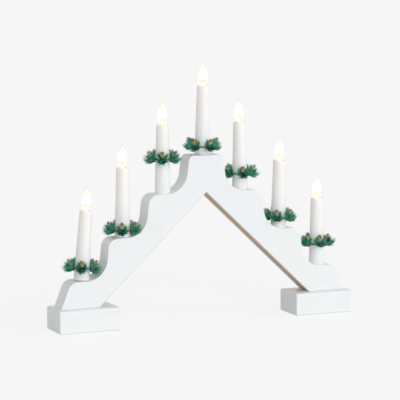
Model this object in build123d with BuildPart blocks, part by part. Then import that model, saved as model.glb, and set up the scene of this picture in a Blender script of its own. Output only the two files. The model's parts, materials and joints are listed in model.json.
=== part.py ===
from build123d import *
import math
import os

# Electric candle arch: a stepped board on two feet, with seven candles in a row.
# Millimetres. X runs along the arch, the front faces -Y and Z is up.
# The origin is under the middle candle, on the surface that the feet stand on.

# Board
candle_pitch = 49.8
board_thickness = 26.0
flat_heights = (196.5, 153.0, 105.0, 57.5)
wall_foot_reach = 23.2
wall_top_reach = 28.4
hollow_radius = 25.6
shoulder_radii = (6.6, 12.6, 12.2)
leg_end_margin = 30.9
end_corner_inset = 12.1
end_corner_radius = 12.0
apex_height = 153.3
leg_foot_length = 46.8
board_edge_round = 0.8

# Feet
foot_length = 73.5
foot_width = 46.3
foot_height = 26.6
foot_end_margin = 5.3
foot_top_round = 3.2
foot_base_round = 1.6
foot_end_round = 1.2

# Wiring groove, its cover strips and their pins
groove_width = 10.0
groove_depth = 10.5
pocket_depth = 6.0
strip_width = 15.0
strip_thickness = 2.4
pin_shank_radius = 0.6
pin_head_radius = 1.2
pin_head_height = 0.5
pin_length = 9.0
pin_side = 6.0
pins_per_strip = 4

# Candle tubes, measured up from the flat that each one stands on
tube_height = 80.0
tube_base_radius = 9.25
tube_top_radius = 7.1
tube_wall = 1.3
tube_lip_round = 0.4
spigot_radius = 6.0
spigot_length = 9.0
spigot_bore_radius = 4.4
web_thickness = 2.0
wire_bore_radius = 4.6
spot_face_gap = 0.3
# Each candle's lean towards the right, and how far it was set off its even place
candle_leans = (4.3, 0.5, 0.0, 0.9, -0.6, 0.9, 0.0)
candle_shifts = (-1.4, -0.6, 0.0, 0.4, -1.3, -1.2, 0.0)

# Lamps: screw cap, glass and the filament on its stem
cap_radius = 4.78
cap_wall = 0.4
cap_tip_radius = 1.7
cap_tip_height = 1.4
cap_bevel_height = 1.0
cap_collar_height = 0.8
thread_pitch = 1.8
thread_height = 0.45
thread_turns = 5
thread_shares = (0.35, 0.5, 0.85)
glass_rise = 26.6
glass_radius = 5.6
glass_wall = 0.5
neck_sink = 3.4
neck_share = 0.82
glass_shares = (
    (0.90, 0.06),
    (0.985, 0.20),
    (1.0, 0.36),
    (0.96, 0.52),
    (0.82, 0.68),
    (0.62, 0.82),
    (0.39, 0.935),
)
stem_radius = 1.3
stem_height = 7.0
stem_root = 1.5
stem_flare_height = 2.6
lead_radius = 0.22
lead_side = 1.9
lead_height = 14.5
filament_rise = 2.2

# Sockets
shell_wall = 0.45
shell_skirt = 1.2
contact_radius = 2.6
contact_thickness = 0.5
contact_gap = 0.1
running_gap = 0.08
seat_gap = 0.05
glass_clearance = 0.35

# Wreath rings: height of each hoop over its flat, its turn and the lift of its tufts
hoop_heights = (13.5, 7.4, 40.0, 9.0, 19.0, 11.2, 24.6)
wreath_turns = (-113.0, -113.0, -113.0, -77.0, -100.0, -122.0, -100.0)
tuft_lifts = (0.0, 25.0, 0.0, 0.0, 0.0, 24.0, 0.0)
tufts_per_wreath = 5
hoop_wire_radius = 0.7
hoop_gap = 0.08
knuckle_radius = 1.6
knuckle_reach = 0.5
knuckle_clearance = 0.3
longest_needle = 12.8
needle_half_width = 0.95
needle_half_thickness = 0.42
needle_tip_share = 0.16
# Each needle: its turn aside, its slope up and its length as a share of the longest
needle_shares = (
    (-66, 6, 0.62),
    (-36, -12, 0.80),
    (0, -22, 0.88),
    (36, -12, 0.80),
    (66, 6, 0.62),
    (-52, 40, 0.66),
    (-16, 14, 0.94),
    (20, 20, 0.90),
    (54, 44, 0.64),
    (0, 87, 0.66),
)
cone_radius = 2.1
cone_length = 7.4
cone_slope = 58.0
cone_stalk_radius = 0.35
cone_stalk_length = 1.3
cone_tier_shares = (0.36, 0.80, 1.0, 0.97, 0.80, 0.56)
cone_scale_share = 0.78

# Leads
wire_radius = 0.8
wire_bend = 2.0
contact_core_side = 1.4
shell_core_side = 4.5
bore_core_side = 2.0
core_hole_radius = 1.1
core_drop = 16.0
chain_depth = 7.8
supply_depth = 3.9
pocket_chain_rise = 4.2
pocket_supply_rise = 1.4
inlet_core_side = 2.5

# Foot screws
screw_shank_radius = 1.75
screw_head_radius = 3.6
screw_head_height = 2.4
screw_length = 26.0
screw_grip = 12.0
screw_point_height = 3.0
screw_insets = (19.3, 7.8)
screw_access_gap = 0.6
drive_width = 0.9
drive_length = 4.2
drive_depth = 1.2

# Cord inlet in the back of the right leg
inlet_inset = 27.5
grommet_radius = 3.4
grommet_bore_radius = 2.5
grommet_flange_radius = 5.0
grommet_flange_thickness = 1.2

# Sizes that follow from these
half_board = board_thickness / 2
leg_half_span = (len(flat_heights) - 1) * candle_pitch + leg_end_margin
end_corner_reach = leg_half_span - end_corner_inset
inner_leg_reach = leg_half_span - leg_foot_length
foot_half_span = leg_half_span + foot_end_margin
screw_places = [leg_half_span - inset for inset in screw_insets]
inlet_reach = inner_leg_reach - inlet_inset
slope = (apex_height - foot_height) / inner_leg_reach
slope_stretch = math.hypot(1, slope)
candle_count = 2 * len(flat_heights) - 1
middle = candle_count // 2
candle_places = [(k - middle) * candle_pitch + candle_shifts[k] for k in range(candle_count)]
candle_flats = [flat_heights[abs(k - middle)] for k in range(candle_count)]
thread_root = cap_radius - thread_height
thread_length = thread_turns * thread_pitch
thread_start = cap_tip_height + cap_bevel_height
cap_height = thread_start + thread_length + cap_collar_height
cap_base = tube_height - neck_sink - cap_height
socket_floor = cap_base - contact_gap - contact_thickness
web_base = socket_floor - web_thickness
shell_radius = cap_radius + running_gap + shell_wall
shell_base = cap_base + thread_start
skirt_base = shell_base - shell_skirt
glass_height = neck_sink + glass_rise

os.makedirs("parts", exist_ok=True)


def save(part, name):
    """Label a finished piece and write it under its own name."""
    part.label = name
    export_step(part, f"parts/{name}.step")


def tube_radius(height):
    """Outer radius of the tapered candle tube at a height over its flat."""
    return tube_base_radius + (tube_top_radius - tube_base_radius) * height / tube_height


def underside(reach, depth=0.0):
    """Height of the sloping underside at a reach from the middle, sunk by a depth into the board."""
    return apex_height - slope * abs(reach) + depth * slope_stretch


def slope_wedge(depth):
    """Corners of the wedge under the arch, grown by a depth into the board."""
    reach = inner_leg_reach + depth * slope_stretch / slope
    return [(-reach, foot_height), (0, underside(0, depth)), (reach, foot_height)]


def level_reach(height, depth):
    """Reach at which a line sunk by a depth under the slope comes down to a height."""
    return (apex_height + depth * slope_stretch - height) / slope


def candle_plane(k, height=0.0):
    """Plane across a candle at a height along it: a leaning tube rests on one side of its rim."""
    lean = math.radians(candle_leans[k])
    seat = candle_flats[k] + tube_base_radius * math.sin(abs(lean))
    axis = Vector(math.sin(lean), 0, math.cos(lean))
    return Plane(origin=Vector(candle_places[k], 0, seat) + axis * height, x_dir=(axis.Z, 0, -axis.X), z_dir=axis)


def pin_planes(side):
    """Planes at the panel pins of one slope, on its underside and square to it."""
    planes = []
    for at in range(pins_per_strip):
        reach = side * inner_leg_reach * (at + 0.5) / pins_per_strip
        place = (reach, pin_side * (-1) ** at, underside(reach))
        planes.append(Plane(origin=place, x_dir=(0, 1, 0), z_dir=(side * slope, 0, 1)))
    return planes


standing = (Align.CENTER, Align.CENTER, Align.MIN)
hanging = (Align.CENTER, Align.CENTER, Align.MAX)


# Board: the stepped outline is a chain of flats and leaning walls with a round in every corner
def step_corners():
    """Corners and rounds of the left half of the top, from the foot up to the middle candle."""
    corners = [(-end_corner_reach, flat_heights[-1], end_corner_radius)]
    for level in range(len(flat_heights) - 1, 0, -1):
        place = -level * candle_pitch
        corners.append((place + wall_foot_reach, flat_heights[level], hollow_radius))
        corners.append((place + wall_top_reach, flat_heights[level - 1], shoulder_radii[level - 1]))
    return corners


left_corners = step_corners()
right_corners = [(-x, z, radius) for x, z, radius in reversed(left_corners)]
top_corners = left_corners + right_corners
with BuildPart() as arch_board:
    with BuildSketch(Plane.XZ):
        with BuildLine():
            top = FilletPolyline(
                (-leg_half_span, foot_height),
                *[(x, z) for x, z, radius in top_corners],
                (leg_half_span, foot_height),
                radius=[radius for x, z, radius in top_corners],
            )
            Polyline(
                top @ 1,
                (inner_leg_reach, foot_height),
                (0, apex_height),
                (-inner_leg_reach, foot_height),
                top @ 0,
            )
        make_face()
    extrude(amount=half_board, both=True)
    top_edges = arch_board.faces().filter_by(Axis.Y).edges()
    top_edges = top_edges.filter_by(lambda e: e.center().Z > underside(e.center().X) + board_edge_round)
    fillet(top_edges, radius=board_edge_round)
    # The groove, the rebate for its cover and the pockets that lead on over the feet
    for width, depth in ((groove_width, groove_depth), (strip_width, strip_thickness)):
        with BuildSketch(Plane.XZ):
            Polygon(*slope_wedge(depth), align=None)
        extrude(amount=width / 2, both=True, mode=Mode.SUBTRACT)
    pocket_reach = max(abs(place) for place in candle_places) + wire_bore_radius
    for side in (-1, 1):
        with Locations((side * (inner_leg_reach + pocket_reach) / 2, 0, foot_height)):
            Box(pocket_reach - inner_leg_reach, groove_width, pocket_depth, align=standing, mode=Mode.SUBTRACT)
    # Seats of the candles, spot-faced into the hollows, and the bores for their leads down to the groove
    for k in range(candle_count):
        with Locations(candle_plane(k)):
            Cylinder(spigot_radius + seat_gap, spigot_length + seat_gap, align=hanging, mode=Mode.SUBTRACT)
            Cylinder(tube_base_radius + spot_face_gap, hollow_radius, align=standing, mode=Mode.SUBTRACT)
        bore_length = candle_flats[k] - max(underside(candle_places[k]), foot_height)
        with Locations((candle_places[k], 0, candle_flats[k])):
            Cylinder(wire_bore_radius, bore_length, align=hanging, mode=Mode.SUBTRACT)
    # Cord inlet, through the back wall of the groove
    inlet_height = underside(inlet_reach, (groove_depth + strip_thickness) / 2)
    with BuildSketch(Plane.XZ.offset(-half_board)):
        with Locations((inlet_reach, inlet_height)):
            Circle(grommet_radius + seat_gap)
    extrude(amount=half_board, mode=Mode.SUBTRACT)
    # Pilot holes of the foot screws
    with Locations(*[(side * place, 0, foot_height) for side in (-1, 1) for place in screw_places]):
        Cylinder(screw_shank_radius + seat_gap, screw_grip + seat_gap, align=standing, mode=Mode.SUBTRACT)
    # Pilot holes of the strip pins, square to each slope
    with Locations(*pin_planes(-1), *pin_planes(1)):
        Cylinder(pin_shank_radius + seat_gap, pin_length + seat_gap, align=standing, mode=Mode.SUBTRACT)
save(arch_board.part, "arch_board")


# Feet: blocks with rounded long edges, drilled from below for the screws
screw_head_base = foot_height + screw_grip - screw_length
with BuildPart() as foot:
    with BuildSketch(Plane.YZ):
        with BuildLine():
            FilletPolyline(
                (-foot_width / 2, 0),
                (foot_width / 2, 0),
                (foot_width / 2, foot_height),
                (-foot_width / 2, foot_height),
                radius=(foot_base_round, foot_base_round, foot_top_round, foot_top_round),
                close=True,
            )
        make_face()
    extrude(amount=foot_length)
    end_faces = foot.faces().sort_by(Axis.X)
    fillet(end_faces[0].edges() + end_faces[-1].edges(), radius=foot_end_round)
    inner_end = foot_half_span - foot_length
    with Locations(*[(place - inner_end, 0, 0) for place in screw_places]):
        Cylinder(screw_shank_radius + seat_gap, foot_height, align=standing, mode=Mode.SUBTRACT)
        Cylinder(screw_head_radius + screw_access_gap, screw_head_base, align=standing, mode=Mode.SUBTRACT)
    with Locations(*[(place - inner_end, 0, screw_head_base) for place in screw_places]):
        Cone(
            screw_head_radius + seat_gap,
            screw_shank_radius + seat_gap,
            screw_head_height,
            align=standing,
            mode=Mode.SUBTRACT,
        )
right_foot = Pos(inner_end, 0, 0) * foot.part
save(right_foot, "right_foot")
save(mirror(right_foot, about=Plane.YZ), "left_foot")

# Foot screws: countersunk, with a crossed drive, standing on their heads
with BuildPart() as screw:
    with BuildSketch(Plane.XZ):
        Polygon(
            (0, 0),
            (screw_head_radius, 0),
            (screw_shank_radius, screw_head_height),
            (screw_shank_radius, screw_length - screw_point_height),
            (0, screw_length),
            align=None,
        )
    revolve(axis=Axis.Z)
    with Locations((0, 0, 0)):
        Box(drive_length, drive_width, drive_depth, align=standing, mode=Mode.SUBTRACT)
        Box(drive_width, drive_length, drive_depth, align=standing, mode=Mode.SUBTRACT)
with BuildPart() as foot_screws:
    with Locations(*[(side * place, 0, screw_head_base) for side in (-1, 1) for place in screw_places]):
        add(screw.part)
save(foot_screws.part, "foot_screws")

# Cover strips: they fill the rebate, from the apex down to the top of each foot
wedge_reach = inner_leg_reach + strip_thickness * slope_stretch / slope
with BuildPart() as right_cover_strip:
    with BuildSketch(Plane.XZ):
        Polygon(
            (0, apex_height),
            (inner_leg_reach, foot_height),
            (wedge_reach, foot_height),
            (0, underside(0, strip_thickness)),
            align=None,
        )
    extrude(amount=strip_width / 2 - seat_gap, both=True)
    with Locations(*pin_planes(1)):
        Cylinder(pin_shank_radius + seat_gap, pin_length, align=standing, mode=Mode.SUBTRACT)
        Cylinder(pin_head_radius + seat_gap, pin_head_height, align=standing, mode=Mode.SUBTRACT)
save(right_cover_strip.part, "right_cover_strip")
save(mirror(right_cover_strip.part, about=Plane.YZ), "left_cover_strip")

# Panel pins that hold the strips
with BuildPart() as strip_pins:
    with Locations(*pin_planes(-1), *pin_planes(1)):
        Cylinder(pin_head_radius, pin_head_height, align=standing)
        Cylinder(pin_shank_radius, pin_length, align=standing)
save(strip_pins.part, "strip_pins")

# Rubber bush of the cord inlet: its flange lies on the back of the leg
with BuildPart() as cord_grommet:
    with BuildSketch(Plane.XZ.offset(-groove_width / 2)):
        with Locations((inlet_reach, inlet_height)):
            Circle(grommet_radius)
    extrude(amount=-(half_board - groove_width / 2))
    with BuildSketch(Plane.XZ.offset(-half_board)):
        with Locations((inlet_reach, inlet_height)):
            Circle(grommet_flange_radius)
    extrude(amount=-grommet_flange_thickness)
    with BuildSketch(Plane.XZ.offset(-groove_width / 2)):
        with Locations((inlet_reach, inlet_height)):
            Circle(grommet_bore_radius)
    extrude(amount=-board_thickness, mode=Mode.SUBTRACT)
save(cord_grommet.part, "cord_grommet")

# Candle tube: tapered, hollow, with a web under the socket and a spigot below
mouth_radius = glass_radius + glass_clearance
mouth_base = tube_height - neck_sink
with BuildPart() as tube:
    with BuildSketch(Plane.XZ):
        Polygon(
            (spigot_bore_radius, -spigot_length),
            (spigot_radius, -spigot_length),
            (spigot_radius, 0),
            (tube_base_radius, 0),
            (tube_top_radius, tube_height),
            (mouth_radius, tube_height),
            (mouth_radius, mouth_base),
            (shell_radius + seat_gap, mouth_base),
            (shell_radius + seat_gap, socket_floor),
            (0, socket_floor),
            (0, web_base),
            (tube_radius(web_base) - tube_wall, web_base),
            (tube_radius(tube_wall) - tube_wall, tube_wall),
            (spigot_bore_radius, tube_wall),
            align=None,
        )
    revolve(axis=Axis.Z)
    rim = tube.edges().filter_by(GeomType.CIRCLE).group_by(Axis.Z)[-1]
    fillet(rim.sort_by(SortBy.RADIUS)[-1], radius=tube_lip_round)
    with Locations((-contact_core_side, 0, web_base), (shell_core_side, 0, web_base)):
        Cylinder(core_hole_radius, web_thickness, align=standing, mode=Mode.SUBTRACT)


def thread_outline(start, gap):
    """Points up one side of the rounded screw thread, from a height on, widened by a gap."""
    points = []
    for turn in range(thread_turns):
        base = start + turn * thread_pitch
        low_share, high_share, end_share = thread_shares
        points.append((thread_root + gap, base))
        points.append((cap_radius + gap, base + low_share * thread_pitch))
        points.append((cap_radius + gap, base + high_share * thread_pitch))
        points.append((thread_root + gap, base + end_share * thread_pitch))
    points.append((thread_root + gap, start + thread_length))
    return points


# Socket: a threaded shell over a centre contact
with BuildPart() as socket_shell:
    with BuildSketch(Plane.XZ):
        Polygon(
            (cap_radius + running_gap, skirt_base),
            (cap_radius + running_gap, shell_base),
            *thread_outline(shell_base, running_gap),
            (shell_radius, shell_base + thread_length),
            (shell_radius, skirt_base),
            align=None,
        )
    revolve(axis=Axis.Z)
with BuildPart() as socket_contact:
    with Locations((0, 0, socket_floor)):
        Cylinder(contact_radius, contact_thickness, align=standing)

# Lamp: the cap and the glass are turned, the filament stands on a glass stem
with BuildPart() as bulb_cap:
    with BuildSketch(Plane.XZ):
        Polygon(
            (0, cap_base),
            (cap_tip_radius, cap_base),
            (cap_tip_radius, cap_base + cap_tip_height),
            *thread_outline(shell_base, 0),
            (cap_radius, mouth_base - cap_collar_height),
            (cap_radius, mouth_base),
            (thread_root - cap_wall, mouth_base),
            (thread_root - cap_wall, shell_base + cap_wall),
            (0, shell_base + cap_wall),
            align=None,
        )
    revolve(axis=Axis.Z)


def glass_outline(wall):
    """Points up the lamp's envelope, drawn in by a wall."""
    top = glass_height - wall
    points = [(glass_radius * neck_share - wall, mouth_base)]
    points += [(glass_radius * r - wall, mouth_base + z * glass_height) for r, z in glass_shares]
    points.append((0, mouth_base + top))
    return points


with BuildPart() as bulb_glass:
    with BuildSketch(Plane.XZ):
        with BuildLine():
            outer = Spline(*glass_outline(0), tangents=((0, 1), (-1, 0)))
            inner = Spline(*glass_outline(glass_wall), tangents=((0, 1), (-1, 0)))
            Line(outer @ 0, inner @ 0)
            Line(outer @ 1, inner @ 1)
        make_face()
    revolve(axis=Axis.Z)

with BuildPart() as bulb_filament:
    with Locations((0, 0, mouth_base - stem_root)):
        Cylinder(stem_radius, stem_height + stem_root, align=standing)
    with Locations((0, 0, mouth_base)):
        Cone(glass_radius * neck_share - glass_wall - seat_gap, stem_radius, stem_flare_height, align=standing)
    stem_top = mouth_base + stem_height
    hook_height = mouth_base + lead_height
    with BuildLine(Plane.XZ):
        Polyline((-stem_radius / 2, stem_top - stem_radius), (-lead_side, hook_height))
    with BuildSketch(Plane(origin=(-stem_radius / 2, 0, stem_top - stem_radius))):
        Circle(lead_radius)
    sweep()
    with BuildLine(Plane.XZ):
        Polyline((stem_radius / 2, stem_top - stem_radius), (lead_side, hook_height))
    with BuildSketch(Plane(origin=(stem_radius / 2, 0, stem_top - stem_radius))):
        Circle(lead_radius)
    sweep()
    with BuildLine(Plane.XZ):
        bow = ThreePointArc((-lead_side, hook_height), (0, hook_height + filament_rise), (lead_side, hook_height))
    with BuildSketch(Plane(origin=(-lead_side, 0, hook_height), z_dir=(bow % 0))):
        Circle(lead_radius)
    sweep()
    with Locations((-lead_side, 0, hook_height), (lead_side, 0, hook_height)):
        Sphere(lead_radius * 1.4)

with BuildPart() as socket_shells:
    with Locations(*[candle_plane(k) for k in range(candle_count)]):
        add(socket_shell.part)
save(socket_shells.part, "socket_shells")
with BuildPart() as socket_contacts:
    with Locations(*[candle_plane(k) for k in range(candle_count)]):
        add(socket_contact.part)
save(socket_contacts.part, "socket_contacts")
for k in range(candle_count):
    save(candle_plane(k) * tube.part, f"candle_{k + 1}")
    save(candle_plane(k) * bulb_cap.part, f"bulb_cap_{k + 1}")
    save(candle_plane(k) * bulb_glass.part, f"bulb_glass_{k + 1}")
    save(candle_plane(k) * bulb_filament.part, f"bulb_filament_{k + 1}")


# Wreath: tufts of needles clipped on a hoop, each with a small cone
def needle(turn, rise, length):
    """A pointed, four-sided needle from the middle of a knuckle: its turn aside, its slope up and its length."""
    aside, up = math.radians(turn), math.radians(rise)
    axis = (math.cos(up) * math.cos(aside), math.cos(up) * math.sin(aside), math.sin(up))
    root = Plane(origin=(0, 0, 0), x_dir=(-math.sin(aside), math.cos(aside), 0), z_dir=axis)
    with BuildPart() as blade:
        for height, share in ((0, 1), (length, needle_tip_share)):
            half_width = needle_half_width * share
            half_thickness = needle_half_thickness * share
            with BuildSketch(root.offset(height)):
                Polygon((half_width, 0), (0, half_thickness), (-half_width, 0), (0, -half_thickness), align=None)
        loft(ruled=True)
    return blade.part


needles = [needle(turn, rise, longest_needle * share) for turn, rise, share in needle_shares]
with BuildPart() as tuft:
    Sphere(knuckle_radius)
    add(needles)

tier_height = cone_length / len(cone_tier_shares)
with BuildPart() as cone:
    with BuildSketch(Plane.XZ):
        outline = [(0, 0), (cone_stalk_radius, 0), (cone_stalk_radius, cone_stalk_length)]
        for tier, share in enumerate(cone_tier_shares):
            base = cone_stalk_length + tier * tier_height
            outline.append((cone_radius * share * cone_scale_share, base))
            outline.append((cone_radius * share, base + tier_height * cone_scale_share))
        outline.append((0, cone_stalk_length + cone_length))
        Polygon(*outline, align=None)
    revolve(axis=Axis.Z)

for k in range(candle_count):
    place = candle_plane(k, hoop_heights[k])
    bore = tube_radius(hoop_heights[k] - hoop_wire_radius) + hoop_gap
    hoop_radius = bore + hoop_wire_radius
    lift = Rot(0, -tuft_lifts[k], 0)
    with BuildPart() as hoop:
        Torus(hoop_radius, hoop_wire_radius)
    save(place * hoop.part, f"wreath_hoop_{k + 1}")
    with BuildPart() as sprig:
        add(Pos(hoop_radius + knuckle_reach, 0, 0) * lift * tuft.part)
        Torus(hoop_radius, hoop_wire_radius + seat_gap, mode=Mode.SUBTRACT)
        Cylinder(bore + knuckle_clearance, longest_needle * 2, mode=Mode.SUBTRACT)
    with BuildPart() as sprigs:
        with PolarLocations(0, tufts_per_wreath, start_angle=wreath_turns[k]):
            add(sprig.part)
    save(place * sprigs.part, f"wreath_sprigs_{k + 1}")
    cone_root = Pos(hoop_radius + knuckle_reach, 0, 0) * lift * Rot(0, 90 - cone_slope, 0)
    with BuildPart() as cones:
        with PolarLocations(0, tufts_per_wreath, start_angle=wreath_turns[k]):
            add(cone_root * Pos(0, 0, knuckle_radius + seat_gap) * cone.part)
    save(place * cones.part, f"wreath_cones_{k + 1}")


# Leads: in series from socket to socket along the groove, with a supply core to each end of the row
def candle_point(k, aside, height):
    """Place in the board's middle plane, beside a candle's axis at a height along it."""
    plane = candle_plane(k, height)
    spot = plane.origin + plane.x_dir * aside
    return (spot.X, spot.Z)


def shell_drop(k):
    """Route from a socket's shell down to the bore below the candle."""
    return [
        candle_point(k, shell_core_side, skirt_base - seat_gap),
        candle_point(k, shell_core_side, web_base - core_drop / 2),
        candle_point(k, bore_core_side, web_base - core_drop),
    ]


def groove_corners(k, aside, depth, pocket_rise):
    """Where a lead beside a candle's axis turns into the groove, from the candle towards the middle of the arch."""
    reach = candle_places[k] + aside
    if abs(candle_places[k]) < inner_leg_reach:
        return [(reach, underside(reach, depth))]
    height = foot_height + pocket_rise
    return [(reach, height), (math.copysign(level_reach(height, depth), reach), height)]


def lead(points):
    """A round insulated lead along a route in the board's middle plane."""
    with BuildPart() as wire:
        with BuildLine(Plane.XZ) as route:
            FilletPolyline(*points, radius=wire_bend)
        with BuildSketch(Plane(origin=route.line @ 0, z_dir=route.line % 0)):
            Circle(wire_radius)
        sweep()
    return wire.part


leads = []
for k in range(candle_count - 1):
    start = shell_drop(k) + groove_corners(k, bore_core_side, chain_depth, pocket_chain_rise)
    end = groove_corners(k + 1, -contact_core_side, chain_depth, pocket_chain_rise)[::-1]
    end.append(candle_point(k + 1, -contact_core_side, socket_floor - seat_gap))
    leads.append(lead(start + end))
left_entry = inlet_reach - inlet_core_side
right_entry = inlet_reach + inlet_core_side
leads.append(
    lead(
        [
            candle_point(0, -contact_core_side, socket_floor - seat_gap),
            *groove_corners(0, -contact_core_side, supply_depth, pocket_supply_rise),
            (0, underside(0, supply_depth)),
            (left_entry, underside(left_entry, supply_depth)),
        ]
    )
)
leads.append(
    lead(
        [
            *shell_drop(candle_count - 1),
            *groove_corners(candle_count - 1, bore_core_side, supply_depth, pocket_supply_rise),
            (right_entry, underside(right_entry, supply_depth)),
        ]
    )
)
with BuildPart() as lamp_wiring:
    add(leads)
save(lamp_wiring.part, "lamp_wiring")
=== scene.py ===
import json
import math

import bpy
import numpy as np
from mathutils import Matrix, Vector
from mathutils.bvhtree import BVHTree


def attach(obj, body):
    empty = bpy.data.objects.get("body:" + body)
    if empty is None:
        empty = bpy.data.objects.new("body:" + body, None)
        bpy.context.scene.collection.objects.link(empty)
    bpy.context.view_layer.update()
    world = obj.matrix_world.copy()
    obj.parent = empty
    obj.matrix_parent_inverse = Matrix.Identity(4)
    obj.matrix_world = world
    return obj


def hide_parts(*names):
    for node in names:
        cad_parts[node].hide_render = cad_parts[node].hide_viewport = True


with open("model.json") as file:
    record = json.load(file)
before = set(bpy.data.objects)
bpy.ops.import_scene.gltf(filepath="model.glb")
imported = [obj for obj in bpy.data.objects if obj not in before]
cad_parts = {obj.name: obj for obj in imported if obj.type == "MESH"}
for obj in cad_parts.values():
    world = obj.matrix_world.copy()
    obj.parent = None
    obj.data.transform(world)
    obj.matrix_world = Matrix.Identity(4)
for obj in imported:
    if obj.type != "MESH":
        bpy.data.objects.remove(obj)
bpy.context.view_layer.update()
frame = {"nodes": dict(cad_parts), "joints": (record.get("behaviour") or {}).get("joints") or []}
scene = bpy.context.scene
scene.view_settings.view_transform = "Standard"


# Studio: a pale floor, two broad soft lamps and an even white room.
# The camera stands to the left of the arch and a little above it, with a long lens.

mm = 0.001
# The camera, in metres, with its lens and sensor in millimetres and its roll in degrees
view_place = Vector((-0.9300, -2.1921, 0.4358))
view_aim = Vector((-0.00273, 0.0, 0.14266))
view_roll = -0.21
lens_length = 184.14
sensor_width = 36
farthest_seen = 100

camera = bpy.data.objects.new("view_camera", bpy.data.cameras.new("view_camera"))
camera.data.sensor_width = sensor_width
camera.data.lens = lens_length
camera.data.clip_end = farthest_seen
camera.location = view_place
facing = (view_aim - view_place).to_track_quat("-Z", "Y").to_matrix()
camera.rotation_euler = (facing @ Matrix.Rotation(math.radians(view_roll), 3, "Z")).to_euler()
scene.collection.objects.link(camera)
scene.camera = camera

# Each studio lamp: its strength, and in degrees how far it stands to the right of the front and up
studio_lamps = {"front_lamp": (1.08, -8, 16), "right_lamp": (0.88, 52, 22)}
lamp_breadth = 40
for name, (strength, aside, up) in studio_lamps.items():
    lamp = bpy.data.objects.new(name, bpy.data.lights.new(name, "SUN"))
    lamp.data.energy = strength
    lamp.data.angle = math.radians(lamp_breadth)
    aside, up = math.radians(aside), math.radians(up)
    towards = Vector((math.sin(aside) * math.cos(up), -math.cos(aside) * math.cos(up), math.sin(up)))
    lamp.rotation_euler = towards.to_track_quat("Z", "Y").to_euler()
    scene.collection.objects.link(lamp)


class Value:
    """A number on a node's socket. A sum written with it adds the Math nodes of that sum."""

    def __init__(self, finish, socket):
        self.finish, self.socket = finish, socket

    def maths(self, operation, first, second=0.0):
        return self.finish.node("Math", {"operation": operation}, {0: first, 1: second})

    def __add__(self, other):
        return self.maths("ADD", self, other)

    def __sub__(self, other):
        return self.maths("SUBTRACT", self, other)

    def __rsub__(self, other):
        return self.maths("SUBTRACT", other, self)

    def __mul__(self, other):
        return self.maths("MULTIPLY", self, other)

    def __abs__(self):
        return self.maths("ABSOLUTE", self)

    __radd__ = __add__
    __rmul__ = __mul__

    def least(self, other):
        return self.maths("MINIMUM", self, other)

    def rising(self, low, high):
        """0 up to low, 1 from high on, and a smooth climb between them."""
        between = {"Value": self, "From Min": low, "From Max": high}
        return self.finish.node("MapRange", {"interpolation_type": "SMOOTHSTEP"}, between)


class Finish:
    """A surface finish: a node tree to which one method adds every node."""

    def __init__(self, holder):
        self.holder = holder
        holder.use_nodes = True
        self.tree = holder.node_tree
        self.tree.nodes.clear()

    def node(self, kind, settings=None, sockets=None, output=0):
        """Adds a node of a kind, makes its settings first and then fills or links its sockets."""
        made = self.tree.nodes.new("ShaderNode" + kind)
        for name, setting in (settings or {}).items():
            setattr(made, name, setting)
        for name, given in (sockets or {}).items():
            if isinstance(given, Value):
                self.tree.links.new(given.socket, made.inputs[name])
            else:
                made.inputs[name].default_value = given
        return Value(self, made.outputs[output]) if made.outputs else made

    def colour(self, share, low, high):
        """Goes from the colour low to the colour high as share goes from 0 to 1."""
        low, high = [c if isinstance(c, Value) else (*c, 1.0) for c in (low, high)]
        return self.node("Mix", {"data_type": "RGBA"}, {0: share, 6: low, 7: high}, 2)

    def object_place(self):
        return self.node("TexCoord", output="Object")

    def coordinates(self):
        """The three coordinates of the point, in metres."""
        split = self.node("SeparateXYZ", sockets={0: self.object_place()})
        return [Value(self, socket) for socket in split.socket.node.outputs]

    def mottle(self, size, detail=2.0, stretch=(1.0, 1.0, 1.0)):
        """Soft random patches, 0 to 1 and about size metres wide, drawn out along an axis by stretch."""
        scale = tuple(1.0 / (size * s) for s in stretch)
        place = self.node("Mapping", sockets={"Vector": self.object_place(), "Scale": scale})
        return self.node("TexNoise", sockets={"Vector": place, "Scale": 1.0, "Detail": detail})

    def relief(self, height, depth):
        """Raises and sinks the surface by height times depth metres."""
        return self.node("Bump", sockets={"Height": height, "Distance": depth, "Strength": 1.0})

    def surface(self, **sockets):
        """The finished surface. Names of sockets are written with _ for a space."""
        named = {}
        for name, given in sockets.items():
            if name.endswith(("Color", "Tint")) and not isinstance(given, Value):
                given = (*given, 1.0)
            named[name.replace("_", " ")] = given
        shader = self.node("BsdfPrincipled", sockets=named)
        self.node("OutputMaterial", sockets={"Surface": shader})
        return self.holder


def seen_backdrop(finish, lit, share, backdrop):
    """Mixes a share of a plain backdrop into the lit shader, for what the camera, metal and glass see."""
    path = finish.node("LightPath").socket.node.outputs
    seen = Value(finish, path["Is Camera Ray"]) + Value(finish, path["Is Glossy Ray"])
    seen = (seen + Value(finish, path["Is Transmission Ray"])).least(1.0) * share
    return finish.node("MixShader", sockets={0: seen, 1: lit, 2: backdrop})


# The room lights the arch evenly, and the camera sees a pale grey backdrop in its place
room_level = 0.50
backdrop_grey = 0.9216
scene.world = bpy.data.worlds.new("room")
room = Finish(scene.world)
even_light = room.node("Background", sockets={"Color": (1, 1, 1, 1), "Strength": room_level})
pale = room.node("Background", sockets={"Color": (backdrop_grey,) * 3 + (1,), "Strength": 1.0})
room.node("OutputWorld", sockets={"Surface": seen_backdrop(room, even_light, 1.0, pale)})

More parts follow.
